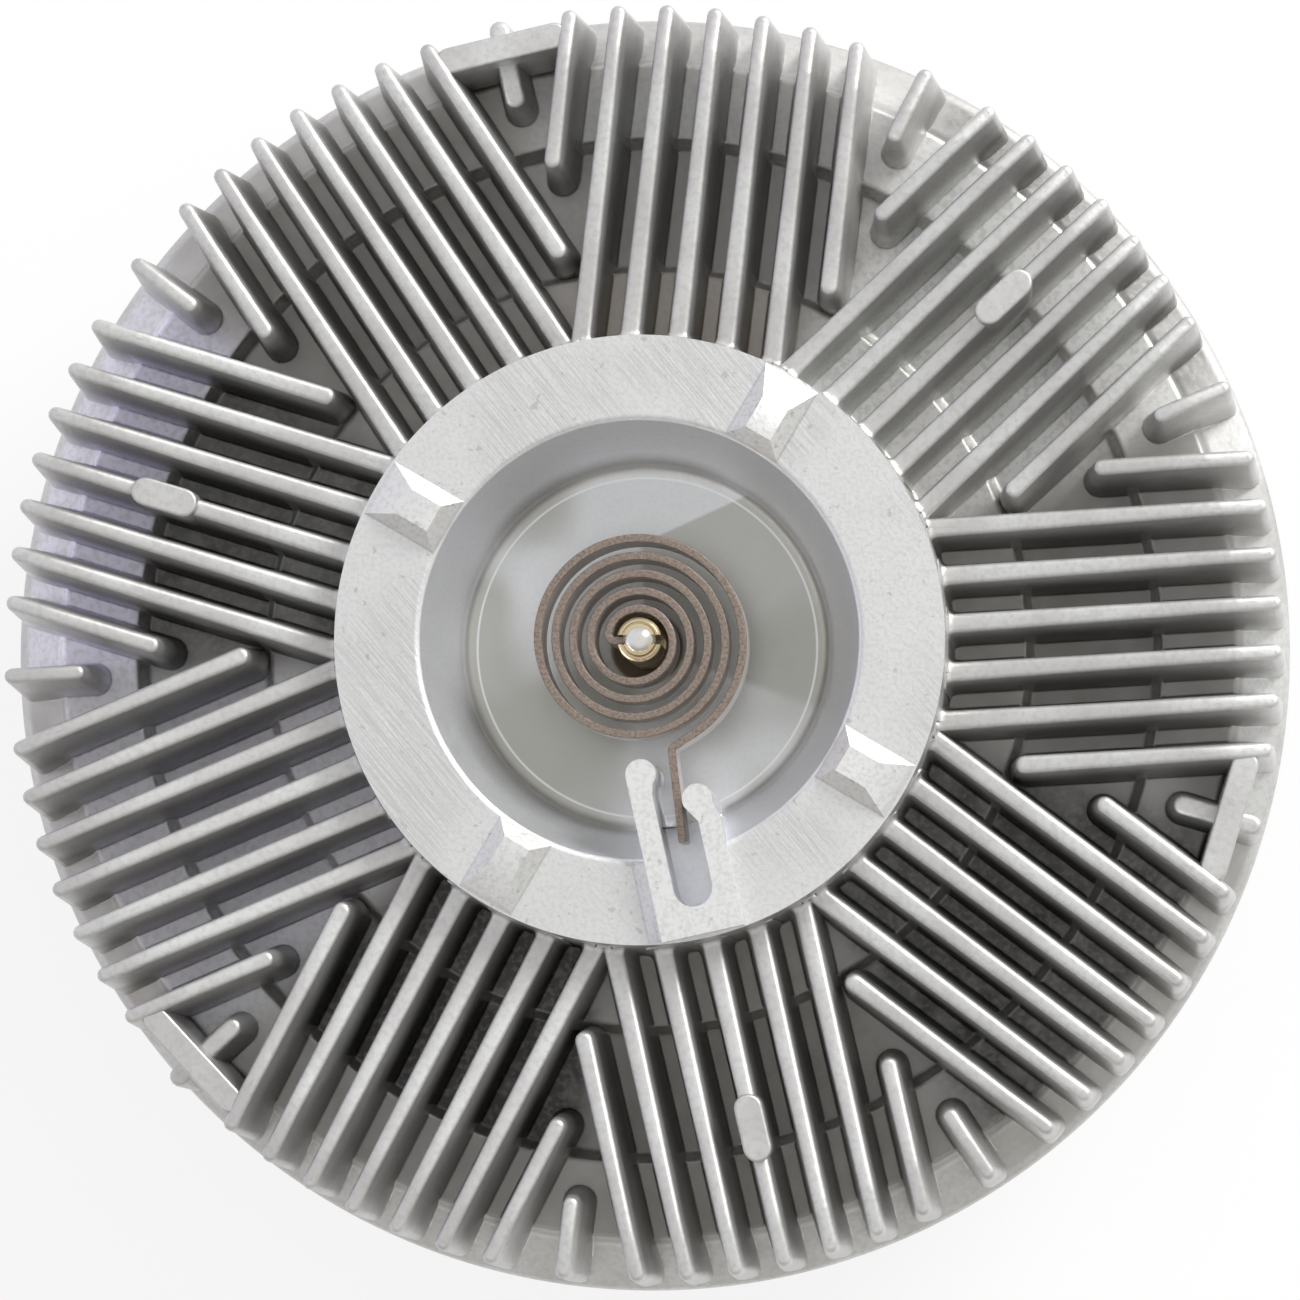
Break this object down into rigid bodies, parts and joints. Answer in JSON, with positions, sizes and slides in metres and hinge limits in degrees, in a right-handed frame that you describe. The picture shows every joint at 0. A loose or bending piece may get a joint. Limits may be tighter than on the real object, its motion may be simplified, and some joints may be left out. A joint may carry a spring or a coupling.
{
  "type": "viscous fan clutch",
  "caption": "Round cast fan clutch with grouped parallel cooling fins, a milled ring around a recessed bimetal coil and valve shaft, and a bolted input shaft behind.",
  "frame": {"origin": "centre of the input shaft's mounting face", "axes": "+Z along the axis towards the coil, +X to the right and +Y up in the picture"},
  "size_m": [0.189, 0.189, 0.0905],
  "materials": {
    "cast_aluminium": "as cast, satin",
    "steel": "machined",
    "brass": "turned",
    "bimetal": "rolled strip, copper brown",
    "seal_rubber": "matt"
  },
  "bodies": {
    "hub": {"input_shaft": "steel", "rotor_disc": "cast_aluminium", "rotor_retaining_ring": "steel", "bearing_inner_race": "steel"},
    "housing": {"front_cover": "cast_aluminium", "rear_body": "cast_aluminium", "cover_seal": "seal_rubber", "wiper_block": "steel", "valve_plate": "steel", "valve_plate_rivets": "steel", "bearing_outer_race": "steel", "bearing_front_seal": "seal_rubber", "bearing_rear_seal": "seal_rubber", "bearing_retaining_ring": "steel", "bimetal_coil": "bimetal"},
    "valve": {"valve_shaft": "brass", "valve_arm": "steel", "valve_shaft_seal": "seal_rubber"},
    "cage": {"bearing_cage": "brass", "bearing_balls": "steel"}
  },
  "joints": [
    {"name": "housing_spin", "type": "hinge", "parent": "hub", "child": "housing", "pos_m": [0, 0, 0.025], "axis": [0, 0, 1], "continuous": true},
    {"name": "valve_turn", "type": "hinge", "parent": "housing", "child": "valve", "pos_m": [0, 0, 0.07], "axis": [0, 0, 1], "range_deg": [0, 40], "stiffness_Nm_per_rad": 0.05, "deforming": ["bimetal_coil"]},
    {"name": "cage_spin", "type": "hinge", "parent": "hub", "child": "cage", "pos_m": [0, 0, 0.025], "axis": [0, 0, 1], "continuous": true}
  ],
  "couplings": [
    {"joint": "cage_spin", "follows": "housing_spin", "ratio": 0.60326}
  ]
}
